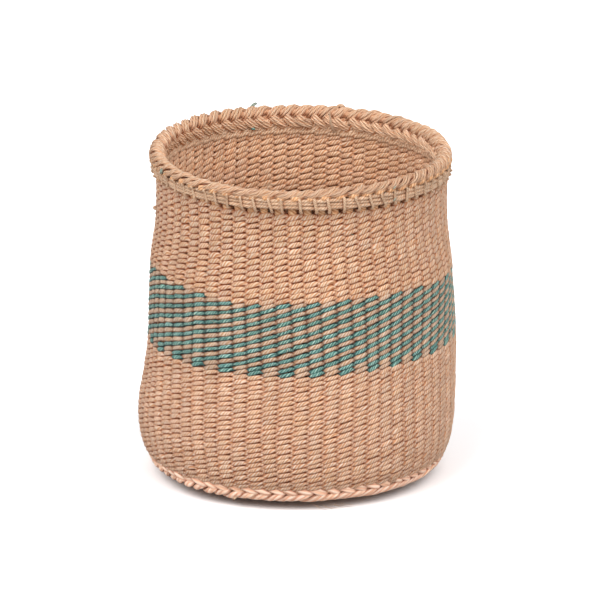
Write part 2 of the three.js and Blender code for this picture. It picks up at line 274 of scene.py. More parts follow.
class Strands:
    """Collects cords as tubes of points, and makes one mesh of them."""

    def __init__(self):
        self.points = []
        self.quads = []
        self.strand_uv = []
        self.tones = []
        self.strips = []
        self.caps = []
        self.total = 0

    def add(self, grid, turns, tone, ring=False):
        """grid is steps x section x 3, and turns has the ply's turn at each step."""
        steps, section = grid.shape[:2]
        index = np.arange(steps * section).reshape(steps, section) + self.total
        after = np.roll(index, -1, 0) if ring else index[1:]
        here = index if ring else index[:-1]
        quads = np.stack([here, np.roll(here, -1, 1), np.roll(after, -1, 1), after], -1).reshape(-1, 4)
        middle = grid.mean(1)
        spokes = grid - middle[:, None]
        area = np.cross(spokes, np.roll(spokes, -1, 1)).sum(1)
        turned = np.sum(area[:-1] * np.diff(middle, axis=0)) < 0
        self.quads.append(quads[:, ::-1] if turned else quads)
        spans = len(here)
        turns_after = np.append(turns[1:], 2 * turns[-1] - turns[-2])[:spans]
        side = np.arange(section + 1) / section
        self.strand_uv.append(face_corners(turns[:spans], side[:-1], turns_after, side[1:], turned))
        length = gone_along(grid[:, 0])[-1]
        girth = np.linalg.norm(grid[0] - np.roll(grid[0], -1, 0), axis=1).sum()
        self.strips.append((spans, section, turned, length, girth))
        if not ring:
            order = -1 if turned else 1
            self.caps.append((index[0][::-order], turns[0]))
            self.caps.append((index[-1][::order], turns[-1]))
        self.points.append(grid.reshape(-1, 3))
        self.tones.append(np.broadcast_to(tone, (steps, section, 4)).reshape(-1, 4))
        self.total += steps * section

    def bake_cells(self, row_length, gap):
        """Cuts the cords into lengths that fill rows. Gives the lengths and the number of rows."""
        cells = []
        row = 0
        along = 0.0
        for spans, section, turned, length, _ in self.strips:
            face = length / spans
            while spans:
                if along > row_length - face:
                    row, along = row + 1, 0.0
                take = min(max(int((row_length - along) / face), 1), spans)
                cells.append((row, along, face, take, section, turned))
                spans -= take
                along += take * face + gap
                if along > row_length - face:
                    row, along = row + 1, 0.0
        return cells, row + 2

    def bake_map(self):
        """Lays the cords side by side in rows, so that each face has a place of its own."""
        length = sum(strip[3] for strip in self.strips)
        girth = np.mean([strip[4] for strip in self.strips])
        row_length = math.sqrt(length * girth * 1.1)
        cells, rows = self.bake_cells(row_length, 0.3 * girth)
        margin = 0.06
        page = 1.02 * row_length
        out = []
        for row, along, face, take, section, turned in cells:
            left = (along + np.arange(take + 1) * face) / page
            low = (row + margin + (1 - 2 * margin) * np.arange(section + 1) / section) / rows
            out.append(face_corners(left[:-1], low[:-1], left[1:], low[1:], turned))
        for number, (loop, _) in enumerate(self.caps):
            angle = np.arange(len(loop)) * 2 * np.pi / len(loop)
            size = min(0.45 / len(self.caps), 0.4 / rows)
            centre = np.array([(number + 0.5) / len(self.caps), (rows - 0.5) / rows])
            out.append(centre + size * np.stack([np.cos(angle), np.sin(angle)], 1))
        return np.concatenate(out)

    def build(self, name, material, slot, nodes=()):
        """Makes the piece and hides the nodes of the CAD that it stands for. slot is not used."""
        points = np.concatenate(self.points)
        quads = np.concatenate(self.quads)
        loops = [quads.ravel()]
        sizes = [np.full(len(quads), 4)]
        uv = list(self.strand_uv)
        for loop, turn in self.caps:
            loops.append(loop)
            sizes.append([len(loop)])
            uv.append(np.stack([np.full(len(loop), turn), np.arange(len(loop)) / len(loop)], 1))
        loops = np.concatenate(loops).astype(np.int32)
        sizes = np.concatenate(sizes).astype(np.int32)
        starts = np.concatenate([[0], np.cumsum(sizes)[:-1]]).astype(np.int32)
        mesh = bpy.data.meshes.new(name)
        mesh.vertices.add(len(points))
        mesh.vertices.foreach_set("co", points.astype(np.float32).ravel())
        mesh.loops.add(len(loops))
        mesh.loops.foreach_set("vertex_index", loops)
        mesh.polygons.add(len(sizes))
        mesh.polygons.foreach_set("loop_start", starts)
        mesh.polygons.foreach_set("loop_total", sizes)
        mesh.polygons.foreach_set("use_smooth", np.ones(len(sizes), bool))
        mesh.update(calc_edges=True)
        for map_name, corners in (("OFBake", self.bake_map()), ("strand", np.concatenate(uv))):
            layer = mesh.uv_layers.new(name=map_name)
            layer.data.foreach_set("uv", corners.astype(np.float32).ravel())
        tone = mesh.attributes.new("tone", "FLOAT_COLOR", "POINT")
        tone.data.foreach_set("color", np.concatenate(self.tones).astype(np.float32).ravel())
        mesh.materials.append(material)
        obj = new_object(name, mesh)
        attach(obj, "root")
        if nodes:
            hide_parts(*nodes)


def ply_section(half_depth, half_height, turns, count, groove=0.06, squareness=1.0):
    """Offsets of a cord of two plies: depth and height at each step and each point of its section."""
    angle = np.arange(count) / count * 2 * np.pi - np.pi / 2
    phase = angle - 2 * np.pi * turns[:, None]
    shape = 1 - groove * np.abs(np.cos(phase)) ** 3
    across, upward = [np.sign(c) * np.abs(c) ** squareness for c in (np.cos(angle), np.sin(angle))]
    return half_depth[:, None] * across * shape, half_height[:, None] * upward * shape


ROW_WAVE = 0.3
ROW_WAVE_LENGTH = 26
row_wave = rng.normal(0, ROW_WAVE, (10, 14))
# Some columns are lighter than others from foot to rim.
column_value = np.random.default_rng(23).normal(0, 0.55, COLUMNS)


def row_drift(length, u):
    """How far a course wanders up or down. Neighbouring courses wander together."""
    low, share = layer_of(length / ROW_WAVE_LENGTH, row_wave)
    return around(row_wave[low], u) * (1 - share) + around(row_wave[low + 1], u) * share


def outer_face(away, drop):
    """How far outside the stake line a strand's face lies, away columns from the middle of its stitch."""
    over_stake = WALL_FACE - drop * np.minimum(2 * away, 1) ** 3
    return over_stake - (WALL_FACE - drop + BEHIND) * smooth(0.5, 0.84, away)


def climb(x):
    """A strand's height through a stitch, from -1 to 1: nearly straight, and rounded at both ends."""
    return (np.sin(np.pi * x) - 0.09 * np.sin(3 * np.pi * x)) / 1.09


def weft_shade(face, upward, along, front, weave):
    """How much painted shade each point of a strand gets, in its gap, under its lower side and at its
    corners.

    face is its distance from the stake line, upward is -1 at the strand's lower side and 1 at its upper
    side, along is in columns from the middle of the stitch, and front is 1 before a stake, -1 behind it.
    """
    gap = 0.95 * smooth(0.2, 1.2, WALL_FACE - np.abs(face))
    under = 1.35 * smooth(0.45, 0.95, -upward) * (0.55 + 0.45 * smooth(-0.2, 0.45, along))
    corner = smooth(0.25, 0.5, np.abs(along)) * smooth(0, 0.9, -upward * np.sign(along) * front)
    return (gap + under + weave.corner * corner) * weave.shade


def twined_course(strands, length, pitch, weave, dyed, columns, lift, looks, warmth):
    """One course: two strands that pass in front of and behind each stake by turns.

    dyed is the number of the strand that is teal, or None, looks has the two strands' values, and lift
    says how much thicker the weft is inside the stakes, at a column and a distance from the axis.
    """
    u = np.arange(columns * STEPS) / STEPS
    column = u * COLUMNS / columns
    drift = row_drift(length, column) + uneven(column, 0.05)
    end_height = max(0.4 * pitch, 1.25 * weave.slant)
    stitch = np.round(u).astype(int) % columns
    along = u - np.round(u)

    def by_stitch(spread):
        """A random number for each stitch."""
        return rng.normal(0, spread, columns)[stitch]

    for strand in (0, 1):
        phase = np.cos(np.pi * (u + strand))
        front = np.where(phase >= 0, 1, -1)
        fullness = np.abs(phase)
        showing = smooth(0, 0.6, fullness)
        size = 1 + by_stitch(SIZE_SPREAD) * showing + uneven(column, SIZE_WAVE, 4 * columns)
        if dyed is not None:
            size = size * (TEAL_SIZE if dyed == strand else BESIDE_TEAL_SIZE)
        nudge = by_stitch(NUDGE) * showing
        steepness = 1 + by_stitch(STEEPNESS_SPREAD) * showing
        at = length + weave.slant * front * climb(along) * steepness + drift + nudge
        radius, height = guide.point(at)
        out_r, out_z = guide.outward(at)
        away = np.abs((u - LAG + strand + 1) % 2 - 1)
        outer = outer_face(away, weave.drop) + by_stitch(FACE_SPREAD) * showing
        inner = -outer_face(1 - away, weave.drop)
        if lift is not None:
            lifted = lift(column, radius) * smooth(0.3, 0.7, away)
            outer, inner = outer - lifted, inner - lifted
        whole_turns = round(2 * np.pi * np.mean(radius) / PLY_PITCH)
        turns = u / columns * whole_turns + rng.uniform(0, 1) + uneven(column, TURN_WAVE)
        middle = (outer + inner) / 2
        half_height = (end_height + (0.56 * pitch - end_height) * fullness**0.65) * size
        depth, rise = ply_section((outer - inner) / 2, half_height, turns, SECTION, squareness=0.85)
        face = middle[:, None] + depth
        r = radius[:, None] + out_r[:, None] * face - out_z[:, None] * rise
        z = height[:, None] + out_z[:, None] * face + out_r[:, None] * rise
        grid = place(r, np.broadcast_to(column[:, None], r.shape), z)
        upward = rise / half_height[:, None]
        inside = smooth(-0.2, -1.0, face)
        # painted shade: the weft is painted darker in its gaps, under its lower side and where it dives, and
        # less so inside
        shade = weft_shade(face, upward, along[:, None], front[:, None], weave)
        shade = np.clip(shade * (1 - (1 - INSIDE_SHADE) * inside), 0, 1)
        # painted bounce light: the inside is painted lighter and warmer
        value = looks[strand] + by_stitch(weave.unlike) + column_value[stitch * COLUMNS // columns]
        value = value[:, None] + INSIDE_PAINTED_LIGHT * inside
        hue = warmth + rng.normal(0, 0.4) + by_stitch(0.6)[:, None] + INSIDE_PAINTED_BOUNCE * inside
        strands.add(grid, turns, tones(value, hue, shade, float(dyed == strand)), ring=True)


def linear(red, green, blue):
    """An sRGB colour from 0 to 255 as Blender's linear colour."""
    channels = [c / 255 for c in (red, green, blue)]
    return tuple(c / 12.92 if c <= 0.04045 else ((c + 0.055) / 1.055) ** 2.4 for c in channels) + (1.0,)


class Nodes:
    """Short ways to add and join shader nodes."""

    def __init__(self, holder):
        holder.use_nodes = True
        self.tree = holder.node_tree
        self.tree.nodes.clear()

    def add(self, kind, *values, named={}, **settings):
        """Adds a node. values feed its sockets in order, and named feeds them by name or number."""
        node = self.tree.nodes.new(kind)
        for key, setting in settings.items():
            setattr(node, key, setting)
        for key, value in [*enumerate(values), *named.items()]:
            socket = node.inputs[key]
            if isinstance(value, bpy.types.NodeSocket):
                self.tree.links.new(value, socket)
            else:
                socket.default_value = value
        return node

    def math(self, operation, *values, clamp=False):
        return self.add("ShaderNodeMath", *values, operation=operation, use_clamp=clamp).outputs[0]

    def scaled(self, value, factor, plus=0.0, clamp=False):
        return self.math("MULTIPLY_ADD", value, factor, plus, clamp=clamp)

    def mix(self, share, first, second, blend="MIX"):
        sockets = {0: share, 6: first, 7: second}
        return self.add("ShaderNodeMix", named=sockets, data_type="RGBA", blend_type=blend).outputs[2]

    def vector(self, x, y, z):
        return self.add("ShaderNodeCombineXYZ", x, y, z).outputs[0]

    def noise(self, vector, scale, detail, roughness):
        sockets = {"Vector": vector, "Scale": scale, "Detail": detail, "Roughness": roughness}
        return self.add("ShaderNodeTexNoise", named=sockets).outputs["Fac"]

    def for_camera(self, unseen, seen):
        """A shader that the camera sees as one and the light as another."""
        is_camera = self.add("ShaderNodeLightPath").outputs["Is Camera Ray"]
        return self.add("ShaderNodeMixShader", is_camera, unseen.outputs[0], seen.outputs[0]).outputs[0]


def sisal(name, fibre_colours, dyes=None):
    """Two-ply sisal cord: bright streaks and painted glints along the plies, painted shade in seams and gaps.
    """
    bright, light, middle, deep = [linear(*colour) for colour in fibre_colours]
    material = bpy.data.materials.new(name)
    n = Nodes(material)
    uv = n.add("ShaderNodeUVMap", uv_map="strand")
    turns, side, _ = n.add("ShaderNodeSeparateXYZ", uv.outputs[0]).outputs
    tone = n.add("ShaderNodeAttribute", attribute_name="tone")
    value, warmth, depth = n.add("ShaderNodeSeparateColor", tone.outputs["Color"]).outputs
    offset = n.scaled(warmth, 3.1)

    waver_place = n.vector(n.scaled(turns, 1.8), n.scaled(value, 1.3), offset)
    wavered = n.scaled(n.noise(waver_place, 1.0, 2.0, 0.5), 0.36, -0.18)
    ply_angle = n.scaled(n.math("SUBTRACT", side, n.math("ADD", turns, wavered)), 2 * math.pi)
    ply_cos = n.math("COSINE", ply_angle)
    ply_sin = n.math("SINE", ply_angle)
    bundle_sin = n.math("ABSOLUTE", n.math("SINE", n.scaled(ply_angle, PLY_BUNDLES / 2)))
    seam = n.math("POWER", bundle_sin, 5.0)

    def along_plies(stretch, width, size, detail, roughness):
        """Noise drawn out along the plies, in turns of the cord."""
        drawn_out = n.scaled(turns, stretch, offset)
        spot = n.vector(drawn_out, n.scaled(ply_cos, width), n.scaled(ply_sin, width))
        return n.noise(spot, size, detail, roughness)

    streaks = along_plies(1.8, 2.2, 1.7, 4.0, 0.65)
    # painted highlights: short bright glints along the plies
    painted_glints = along_plies(2.2, 1.0, 1.7, 2.0, 0.5)
    patch_place = n.vector(n.scaled(turns, 0.6), n.scaled(value, 2.0), offset)
    patches = n.noise(patch_place, 1.3, 2.0, 0.5)

    # crown is the middle of each bundle of fibre. level adds the fibre streaks, the painted glints and the
    # crowns, which are painted lighter as painted highlights; its top tier gives the bright colour, and it is
    # low in the seams.
    crown = n.math("SUBTRACT", 1.0, n.math("POWER", bundle_sin, 2.0))
    level = n.scaled(streaks, 1.4, n.scaled(painted_glints, 1.8, n.scaled(crown, 0.75, -1.52)))
    above_seam = n.scaled(level, 2.6, 0.35, clamp=True)
    is_light = n.scaled(level, 2.2, -0.55, clamp=True)
    is_bright = n.scaled(level, 2.2, -1.6, clamp=True)
    colour = n.mix(is_bright, n.mix(is_light, middle, light), bright)
    painted_shade_colour = deep
    if dyes is not None:
        dye_bright, dye_light, dye_middle, dye_painted_shade = [linear(*dye) for dye in dyes]
        is_dyed = n.scaled(tone.outputs["Alpha"], 1.0, clamp=True)
        dyed = n.mix(is_bright, n.mix(is_light, dye_middle, dye_light), dye_bright)
        colour = n.mix(is_dyed, colour, dyed)
        painted_shade_colour = n.mix(is_dyed, deep, dye_painted_shade)
    brightness = n.scaled(value, VALUE_STEP, 1.0)
    brightness = n.scaled(brightness, n.scaled(patches, 0.4, 0.8))
    colour = n.mix(1.0, colour, n.vector(brightness, brightness, brightness), "MULTIPLY")
    is_warm = n.scaled(warmth, 0.3, 0.5, clamp=True)
    colour = n.mix(1.0, colour, n.mix(is_warm, COOL_TINT, WARM_TINT), "MULTIPLY")
    # Painted shade: the seams between bundles get SEAM_SHADE, and the tone's shade channel gives painted deep
    # shade in gaps, under edges and where cords tuck in.
    painted_shade = n.scaled(above_seam, -SEAM_SHADE, SEAM_SHADE)
    painted_shade = n.math("MAXIMUM", painted_shade, n.scaled(depth, DEEPEST))
    colour = n.mix(painted_shade, colour, painted_shade_colour)

    relief = n.scaled(streaks, 0.5, n.scaled(seam, -0.6))
    bump = n.add("ShaderNodeBump", named={"Strength": 1.0, "Distance": RELIEF * MM, "Height": relief})
    finish = {
        "Base Color": colour, "Normal": bump.outputs[0], "Roughness": 0.6, "Specular IOR Level": 0.35,
        "Sheen Weight": 0.06, "Sheen Roughness": 0.5,
    }
    shader = n.add("ShaderNodeBsdfPrincipled", named=finish)
    n.add("ShaderNodeOutputMaterial", shader.outputs[0])
    return material


VALUE_STEP = 0.045  # how much one step of a tone's value brightens the fibre
# How much painted shade the seams get, and the most painted deep shade that the tone's shade gives
SEAM_SHADE = 0.42
DEEPEST = 0.95
RELIEF = 0.45
COOL_TINT = (1, 0.985, 1, 1)
WARM_TINT = (1, 0.955, 0.88, 1)
# Fibre colours in sRGB: the brightest streaks and painted glints, the light fibre, the fibre between, and the
# colour of the painted deep shade.
DEEP = (176, 76, 6)
NATURAL = ((243, 222, 202), (239, 208, 180), (224, 168, 126), DEEP)
IN_BAND = ((230, 212, 194), (224, 200, 178), (214, 170, 134), (112, 50, 18))
TEAL = ((206, 236, 224), (138, 184, 174), (80, 134, 128), (6, 18, 22))
PALE = ((234, 210, 188), (230, 200, 172), (220, 178, 142), (196, 104, 38))
AT_FOOT = ((238, 214, 196), (236, 204, 180), (228, 182, 152), DEEP)
STAKES = ((242, 206, 166), (236, 188, 144), (222, 162, 114), (124, 56, 24))
natural = sisal("natural sisal", NATURAL)
banded = sisal("natural and teal sisal", IN_BAND, TEAL)
pale = sisal("pale rim sisal", PALE)
foot_look = sisal("foot sisal", AT_FOOT)
stake_look = sisal("stake sisal", STAKES)


# Weft
def courses(
    name, lengths, pitch, weave, material, slot, node_names, looks, warmth=0.0, dyed=None, columns=COLUMNS,
    lift=None,
):
    """Makes the courses in pieces of a few courses each. dyed says which strand of a row is teal."""
    for number, start in enumerate(range(0, len(lengths), PIECE_ROWS)):
        strands = Strands()
        for row in range(start, min(start + PIECE_ROWS, len(lengths))):
            teal = dyed(row) if dyed else None
            twined_course(strands, lengths[row], pitch, weave, teal, columns, lift, looks, warmth)
        strands.build(f"{name}_{number + 1}", material, slot, node_names)


def teal_strand(row):
    """The strand that is teal in a row of the band, so that the teal stitches climb to the right."""
    return 0 if row == 0 or row % 2 == 1 else 1


lower_low = guide.length_at_height(LOWER_FIRST)
band_low = guide.length_at_height(BAND_FIRST)
band_high = guide.length_at_height(BAND_FIRST + BAND_PITCH * (BAND_ROWS - 1))
upper_high = guide.length_at_height(UPPER_LAST)
lower_lengths = np.linspace(lower_low, band_low - UNDER_BAND, LOWER_ROWS)
band_lengths = np.linspace(band_low, band_high, BAND_ROWS)
upper_lengths = np.linspace(band_high + COURSE_STEP, upper_high, UPPER_ROWS)
courses(
    "lower_wall", lower_lengths, 2.5, PLAIN, natural, "natural_weft", ["wall_foot_weft", "wall_lower_weft"],
    (1.2, 0.0), -0.9,
)
courses("band", band_lengths, 2.37, BANDED, banded, "band_weft", ["wall_band_weft"], (0, 0), dyed=teal_strand)
courses(
    "upper_wall", upper_lengths, 2.72, PLAIN, natural, "natural_weft", ["wall_upper_weft"], (0.3, -0.3), 0.3,
)


# Base
HUB_LIFT = 2.0
INNER_ROWS = 12
OUTER_ROWS = 8


def hub_lift(u, radius):
    """How much higher the arms along X lie, which cross over those along Y."""
    angle = (u - FIRST_COLUMN) * STEP
    along_x = smooth(-0.1, 0.1, np.abs(np.cos(angle)) - np.abs(np.sin(angle)))
    return HUB_LIFT * along_x * (1 - smooth(19, 44, radius))


inner_lengths = np.linspace(guide.length_at_radius(20.4), guide.length_at_radius(47.8), INNER_ROWS)
outer_lengths = np.linspace(guide.length_at_radius(50.4), lower_low - COURSE_STEP, OUTER_ROWS)
base = (2.5, PLAIN, natural, "natural_weft", ["base_weft"], (0.2, -0.2))
courses("base_inner", inner_lengths, *base, columns=ARMS, lift=hub_lift)
courses("base_outer", outer_lengths, *base)


# Cords along any path
def curve_through(stops, count):
    """A smooth curve through stops, cut into even steps. The first three numbers of a stop are its place."""
    stops = np.array(stops, float)
    padded = np.vstack([2 * stops[0] - stops[1], stops, 2 * stops[-1] - stops[-2]])
    t = np.linspace(0, 1, 24, endpoint=False)[:, None]
    fine = []
    for i in range(len(stops) - 1):
        a, b, c, d = padded[i : i + 4]
        cubic = (3 * b - a - 3 * c + d) * t**3
        fine.append(0.5 * (2 * b + (c - a) * t + (2 * a - 5 * b + 4 * c - d) * t**2 + cubic))
    fine = np.vstack(fine + [stops[-1:]])
    gone = gone_along(fine[:, :3] * [1, COLUMN_WIDTH, 1])
    wanted = np.linspace(0, gone[-1], count)
    return np.stack([np.interp(wanted, gone, numbers) for numbers in fine.T], 1)


def add_cord(
    strands, points, facing, half_depth, half_width, tone, section=8, pitch=PLY_PITCH, groove=0.15,
    ring=False, aside=0.0,
):
    """A two-ply cord along points in metres. facing is the direction of its depth at each point."""
    along = unit(np.roll(points, -1, 0) - np.roll(points, 1, 0) if ring else np.gradient(points, axis=0))
    across = unit(np.cross(facing, along))
    out = np.cross(along, across)
    points = points + across * np.reshape(aside, (-1, 1)) * MM
    gone = gone_along(points) / MM
    if ring:
        total = gone[-1] + np.linalg.norm(points[0] - points[-1]) / MM
        turns = gone / total * round(total / pitch)
    else:
        turns = gone / pitch + rng.uniform(0, 1)
    half_depth = np.broadcast_to(half_depth, len(points))
    half_width = np.broadcast_to(half_width, len(points))
    depth, width = ply_section(half_depth, half_width, turns, section, groove)
    grid = points[:, None] + (out[:, None] * depth[..., None] + across[:, None] * width[..., None]) * MM
    strands.add(grid, turns, tone, ring)


def placed(radius, u, height, out_r=1.0, out_z=0.0):
    """Points of the basket as made, and the direction (out_r, out_z) of the section plane at each."""
    points = place(radius, u, height)
    beyond = place(radius + out_r * 0.5, u, height + out_z * 0.5)
    return points, unit(beyond - points)


def taper(count, at_start, at_end, least=0.3):
    """1 along the middle of a cord and thinner over a share of its length at both ends."""
    t = np.linspace(0, 1, count)
    rise = smooth(0, at_start, t) if at_start else 1.0
    return least + (1 - least) * np.minimum(rise, smooth(0, at_end, 1 - t))


# Stakes
TIP_LENGTH = guide.length_at_height(160.0)
HUB_LENGTH = guide.length_at_radius(19.0)
FLAT_LENGTH = guide.length_at_radius(49.0)
STAKE_STEP = 2.2
STAKE_SECTION = 8
STAKE_DEPTH = 0.85
STAKE_WIDTH = 1.2
HUB_WIDTH = 0.52  # added where the stakes cross
# How a stake's tip bends over the thick cord and tucks in again: distance from the axis, columns, height.
TIP = [
    (70.6, 0, 160.6), (72.2, 0.02, 161.9), (74, 0.08, 162.7), (74.5, 0.3, 163.5), (73.2, 0.75, 164.2),
    (71.3, 1.4, 164.3), (69.9, 2, 164), (69, 2.7, 163.2),
]
TIP_STEPS = 15


def stake_half(column, start):
    """A stake from a length along the stake line up to its tip.

    Gives its points, outward directions, distances from the axis, and painted shade under the border.
    """
    lengths = np.arange(start, TIP_LENGTH, STAKE_STEP)
    radius, height = guide.point(lengths)
    out_r, out_z = guide.outward(lengths)
    u = np.full(len(lengths), float(column))
    if column % 2 == 0:
        height = height + hub_lift(u, radius)
    radius = radius + 1.5 * smooth(151.5, 154, height) * (1 - smooth(155, 157, height))
    tip = curve_through(TIP, TIP_STEPS)[1:] + [0.0, column, rng.normal(0, 0.12)]
    radius, u, height = [np.concatenate(pair) for pair in zip((radius, u, height), tip.T)]
    lean = np.radians(np.interp(np.arange(len(tip)), [0, 4, 9], [10, 55, 80]))
    out_r = np.concatenate([out_r, np.cos(lean)])
    out_z = np.concatenate([out_z, np.sin(lean)])
    painted_shade = np.concatenate([np.zeros(len(lengths)), smooth(0.3, 0.8, tip[:, 1] - column)])
    return *placed(radius, u, height, out_r, out_z), radius, painted_shade


def add_stake(strands, points, facing, from_axis, painted_shade):
    """Adds a stake: broad at the hub and under the rim, and painted darker in the shade of the plaited
    border.
    """
    height = points[:, 2] / MM
    width = STAKE_WIDTH + HUB_WIDTH * (1 - smooth(17, 30, from_axis))
    width = width + 0.95 * smooth(150.5, 153.5, height) - 0.6 * smooth(157, 161, height)
    # painted shade where the plaited border covers the tip
    tone = tones(rng.normal(4, 0.8), rng.normal(0, 0.6), 0.85 * painted_shade[:, None])
    add_cord(strands, points, facing, STAKE_DEPTH, width, tone, STAKE_SECTION)


def long_stakes(name, arms, node_name):
    """Stakes that come down at one arm, cross under the middle and go up at the other."""
    strands = Strands()
    for first, last in arms:
        down, up = [stake_half(2 * arm, HUB_LENGTH) for arm in (first, last)]
        share = np.linspace(0, 1, 14)[1:-1, None]
        middle = down[0][0] * (1 - share) + up[0][0] * share
        flat = np.zeros(len(middle))
        crossing = (middle, np.repeat(down[1][:1], len(middle), 0), flat, flat)
        add_stake(strands, *[np.concatenate([a[::-1], b, c]) for a, b, c in zip(down, crossing, up)])
    strands.build(name, stake_look, "stake_cord", [f"{node_name}_{n + 1}" for n in range(len(arms))])


long_stakes("long_stakes_x", [(cord, 23 - cord) for cord in range(8)], "crossing_stake_x")
long_stakes("long_stakes_y", [(8 + cord, 31 - cord) for cord in range(8)], "crossing_stake_y")
short_stakes = Strands()
for arm in range(ARMS):
    add_stake(short_stakes, *stake_half(2 * arm + 1, FLAT_LENGTH))
short_stakes.build("short_stakes", stake_look, "stake_cord", [f"added_stake_{n + 1}" for n in range(ARMS)])


# Plaited rings: each is made of one short bundle for each column, which tucks under its neighbours.
def plaited_row(
    strands, stops, yarns, steps, section, value=0.0, warmth=0.0, wobble=0.1, end_share=0.16, crown=0.0,
    side_shade=0.0, pitch=2 * PLY_PITCH, overhang=0.0,
):
    """stops: distance from the axis, columns from this one, height, outward angle, half depth, half width.

    crown is how far the middle yarn stands out, and overhang is how far the bundles start lower down
    where the wall is flush.
    """
    t = np.linspace(0, 1, steps)
    # Painted shade: a bundle is darker at both ends, where it tucks under its neighbours, on its outer yarns
    # when it has a crown, and at its sides by side_shade, in the slits between bundles.
    ends_shade = 0.8 * (1 - smooth(0, 0.2, t) * smooth(0, 0.2, 1 - t))
    round_side = np.abs(np.cos(np.arange(section) / section * 2 * np.pi)) ** 3
    for column in range(COLUMNS):
        own = np.array(stops, float)
        own[:, 0] += rng.normal(0, wobble)
        own[:, 1] += column + rng.normal(0, wobble * 0.6)
        own[:, 2] += rng.normal(0, wobble) + rng.normal(0, wobble * 0.4, len(own))
        own[:, 2] -= overhang * np.interp(np.arange(len(own)), [0, 4], [1, 0]) * by_angle(FLUSH, column)
        radius, u, height, angle, half_depth, half_width = curve_through(own, steps).T
        turn = np.radians(angle)
        points, facing = placed(radius, u, height, np.cos(turn), np.sin(turn))
        for yarn in range(yarns):
            size = taper(steps, end_share, end_share) * (1 + rng.normal(0, 0.07))
            aside = half_width * (2 * yarn + 1 - yarns) / yarns
            from_middle = abs(2 * yarn + 1 - yarns) / max(yarns - 1, 1)
            shade = np.maximum(ends_shade, 0.4 * crown * from_middle)
            shade = np.maximum(shade[:, None], side_shade * round_side)
            tone = tones(value + rng.normal(0, 0.8), warmth + rng.normal(0, 0.6), shade)
            width = half_width / yarns * size * 1.12
            lift = rng.normal(0, 0.1) + crown * (0.5 - from_middle)
            middle = points + facing * lift * MM
            add_cord(strands, middle, facing, half_depth * size, width, tone, section, pitch, aside=aside)


# The foot's bundles are painted much lighter (value 12.5 and 15), as painted light thrown up from the floor.
foot = Strands()
plaited_row(foot, [
    (70.8, -0.55, 13.6, 15, 1, 1.4), (72.5, -0.15, 12.8, 5, 1.1, 1.7), (73, 0.25, 11.5, -5, 1.15, 1.8),
    (72.5, 0.65, 9.9, -15, 1.1, 1.7), (71.1, 1.05, 8.6, -25, 1, 1.4),
], yarns=1, steps=18, section=12, value=12.5, warmth=-1.2, side_shade=0.5, pitch=36)
plaited_row(foot, [
    (64.4, -1.2, 5, -100, 1, 1.3), (66.4, -0.75, 4.8, -80, 1.1, 1.6), (68.9, -0.3, 5.5, -55, 1.1, 1.7),
    (71, 0.15, 7, -30, 1.1, 1.7), (72, 0.6, 8.5, -10, 1.1, 1.6), (71.7, 1.05, 10, 10, 1, 1.3),
], yarns=1, steps=20, section=12, value=15, warmth=-1.2, side_shade=0.3, pitch=40)
foot.build("foot_plait", foot_look, "natural_weft", ["base_edge_cord"])

# The thick cord round the rim: three thinner ones stacked, pinched by the lashing between the stakes
CORE_RADIUS = 73.2
CORE_STEPS = 10
CORE_SECTION = 12
SLIMMER = 0.8  # how much closer the cord lies to the stakes where the wall stands against it
core = Strands()
for height_at in (156.7, 158.5, 160.3):
    u = np.arange(COLUMNS * CORE_STEPS) / CORE_STEPS
    pinch = np.abs(np.cos(np.pi * u)) ** 0.7
    flush = by_angle(FLUSH, u)
    radius = CORE_RADIUS - SLIMMER * flush + 0.4 * pinch + uneven(u, 0.18)
    height = height_at + uneven(u, 0.2) + uneven(u, 0.12, 20)
    # painted shade on the cord beside each loop of the lashing, weaker where the wall stands against it
    shade = (0.5 - 0.3 * flush) * (1 - pinch**0.6)
    tone = tones(0.2 + uneven(u, 1.0)[:, None], 0.0, shade[:, None])
    wide = 1.08 + 0.08 * pinch + uneven(u, 0.06)
    points, facing = placed(radius, u, height)
    deep = 1.5 + 0.15 * pinch
    add_cord(core, points, facing, deep, wide, tone, CORE_SECTION, pitch=6.4, groove=0.12, ring=True)
core.build("rim_core_cords", pale, "rim_cord", ["rim_core_cord"])

# The lashing: one thread that goes round the thick cord between the stakes and on behind the next stake
LASH_OUT = 75.6
LASH_SLIMMER = 2.1 * SLIMMER
LASH_CENTRE = (72.0, 158.0)
LASH_STEPS = 30
lash = Strands()
lash_stops = []
for column in range(COLUMNS):
    side = column + 0.5 + rng.normal(0, 0.06)
    out = LASH_OUT + rng.normal(0, 0.12) - LASH_SLIMMER * by_angle(FLUSH, side)
    lean = 0.025 + rng.normal(0, 0.04)
    lash_stops += [
        (71.4, side + 0.03, 153.75), (74.5, side + lean, 154.4), (out, side + lean, 156.1),
        (out + 0.1, side, 158.1), (out, side - lean, 160.3), (75, side - lean, 162.2),
        (71.6, side - 0.03, 163), (68.8, side + 0.1, 161.6), (68.4, side + 0.5, 158),
        (68.8, side + 0.85, 154.4),
    ]
lash_stops.append((71.4, lash_stops[0][1] + COLUMNS, 153.75))
radius, u, height = curve_through(lash_stops, COLUMNS * LASH_STEPS + 1)[:-1].T
from_centre = unit(np.stack([radius, height], 1) - LASH_CENTRE)
points, facing = placed(radius, u, height, *from_centre.T)
# painted shade on the parts of the thread that lie deeper in, behind the thick cord
shade = 0.7 * (1 - smooth(72.2, 74.2, radius))
tone = tones(0.6 + uneven(u, 1.0)[:, None], 0.3, shade[:, None])
wide = 0.8 + uneven(u, 0.09)
add_cord(lash, points, facing, 0.75, wide, tone, pitch=5.0, ring=True)
lash.build("rim_lashing_cord", pale, "rim_cord", ["rim_lashing"])

